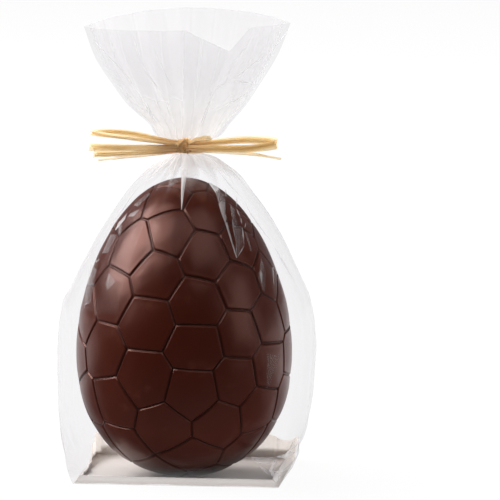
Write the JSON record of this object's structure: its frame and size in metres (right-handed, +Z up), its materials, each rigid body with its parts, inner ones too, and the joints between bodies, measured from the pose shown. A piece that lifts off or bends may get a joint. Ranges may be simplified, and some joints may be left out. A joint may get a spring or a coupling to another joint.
{
  "type": "chocolate egg in a tied clear bag",
  "caption": "Dark chocolate egg with a grooved shell, standing in a clear block-bottomed gift bag tied with natural raffia.",
  "frame": {"origin": "middle of the bag's flat base, on the surface that it stands on", "axes": "+Z up through the tie to the mouth of the bag; -Y is the front, where the bow is; +X is to the right seen from the front"},
  "size_m": [0.1045, 0.0894, 0.1879],
  "materials": {
    "film": "clear, glossy cellophane with sharp creases",
    "raffia": "natural straw-coloured palm fibre, satin, streaked along its length",
    "chocolate": "dark chocolate with a satin sheen",
    "card": "plain matt white card"
  },
  "bodies": {
    "root": {"bag": "film", "raffia_wrap": "raffia", "raffia_knot": "raffia", "raffia_loop_left": "raffia", "raffia_loop_right": "raffia", "raffia_tail_left_upper": "raffia", "raffia_tail_left_lower": "raffia", "raffia_strand_left": "raffia", "raffia_strand_right": "raffia", "raffia_curl": "raffia"}
  },
  "joints": []
}
